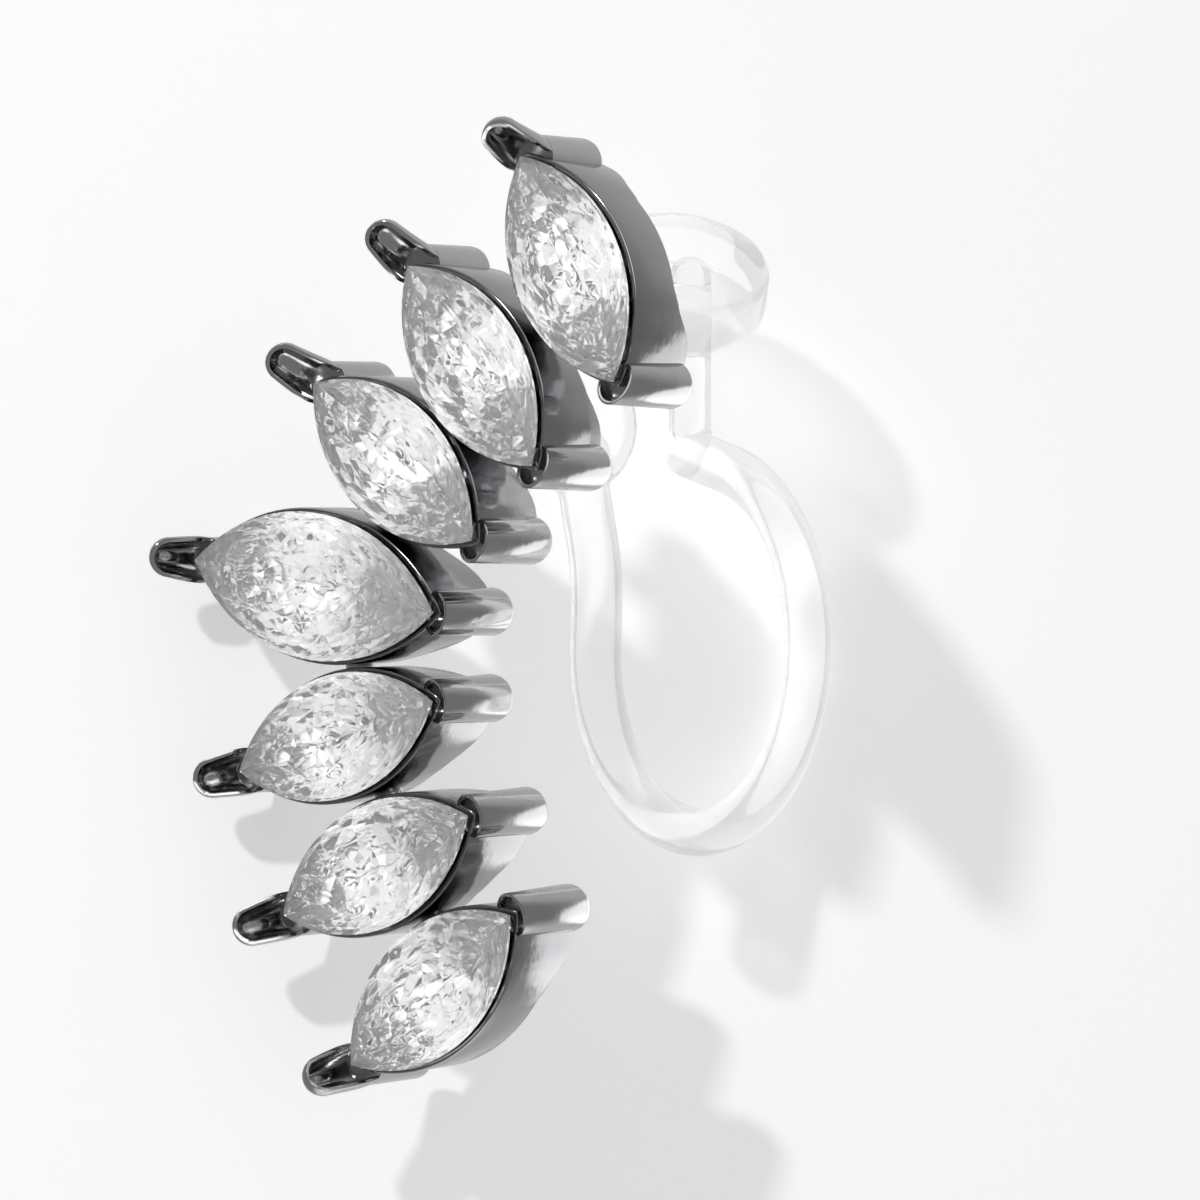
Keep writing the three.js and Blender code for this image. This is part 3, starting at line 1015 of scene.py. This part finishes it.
def front_camera(stage):
    """The camera, aimed at the earring's middle and as far off as fills the picture."""
    low, high = CAD_BOX
    centre, radius = (low + high) / 2, (high - low).length / 2
    az, el = stage.azimuth, stage.elevation
    back = Vector((math.sin(az) * math.cos(el), -math.cos(az) * math.cos(el), math.sin(el)))
    data = bpy.data.cameras.new("camera")
    data.lens = stage.lens
    data.clip_start, data.clip_end = 0.001, 10.0
    half = math.atan(data.sensor_width / 2 / data.lens)
    camera = bpy.data.objects.new("camera", data)
    camera.location = centre + back * (radius * stage.fill / math.sin(half))
    camera.rotation_mode = "QUATERNION"
    level = (-back).to_track_quat("-Z", "Y")
    camera.rotation_quaternion = level @ Matrix.Rotation(stage.roll, 3, "Z").to_quaternion()
    bpy.context.scene.collection.objects.link(camera)
    bpy.context.scene.camera = camera
    return camera, centre


class EARRING_OT_set_stage(bpy.types.Operator):
    """Set the floor, the lights and the camera"""

    bl_idname = "earring.set_stage"
    bl_label = "Set Stage"

    def execute(self, context):
        scene = context.scene
        scene.view_settings.view_transform = "Standard"
        stage = scene.earring_stage
        studio_world(scene, stage.ambient)
        pale_floor(stage.floor_glow)
        camera, centre = front_camera(stage)
        turn = camera.rotation_quaternion.to_matrix()
        cloth = panelled_cloth("metal_cloth", turn, centre, stage.metal_tent, METAL_PANELS)
        light_tent("metal_tent", METAL_TENT_RADIUS, centre, cloth, "glossy")
        cloth = panelled_cloth("stone_cloth", turn, centre, stage.stone_tent, STONE_PANELS)
        light_tent("stone_tent", STONE_TENT_RADIUS, centre, cloth, "transmission")
        area_light("key", centre + turn @ KEY_PLACE, centre, KEY_SIZE, stage.key_power)
        return {"FINISHED"}


# ---- Panel and registration ----------------------------------------------------------------------


class EARRING_PT_sidebar(bpy.types.Panel):
    """The earring's steps and sizes in the sidebar"""

    bl_idname = "EARRING_PT_sidebar"
    bl_label = "Marquise Clip Earring"
    bl_space_type = "VIEW_3D"
    bl_region_type = "UI"
    bl_category = "Earring"

    def draw(self, context):
        for operator in OPERATORS:
            self.layout.operator(operator.bl_idname)
        for name in SETTINGS:
            settings = getattr(context.scene, name)
            box = self.layout.box()
            for size in settings.bl_rna.properties.keys():
                if size not in ("rna_type", "name"):
                    box.prop(settings, size)


SETTINGS = {
    "earring_stone": StoneSettings,
    "earring_setting": SettingSettings,
    "earring_clip": ClipSettings,
    "earring_finish": FinishSettings,
    "earring_stage": StageSettings,
}
OPERATORS = (
    EARRING_OT_set_stage,
    EARRING_OT_cut_stones,
    EARRING_OT_cast_setting,
    EARRING_OT_mould_clip,
)


def register():
    for group in SETTINGS.values():
        bpy.utils.register_class(group)
    for name, group in SETTINGS.items():
        setattr(bpy.types.Scene, name, PointerProperty(type=group))
    for operator in OPERATORS:
        bpy.utils.register_class(operator)
    bpy.utils.register_class(EARRING_PT_sidebar)


def unregister():
    bpy.utils.unregister_class(EARRING_PT_sidebar)
    for operator in reversed(OPERATORS):
        bpy.utils.unregister_class(operator)
    for name in SETTINGS:
        delattr(bpy.types.Scene, name)
    for group in reversed(SETTINGS.values()):
        bpy.utils.unregister_class(group)


def main():
    register()
    bpy.ops.earring.set_stage()
    bpy.ops.earring.cut_stones()
    bpy.ops.earring.cast_setting()
    bpy.ops.earring.mould_clip()


if __name__ == "__main__":
    main()
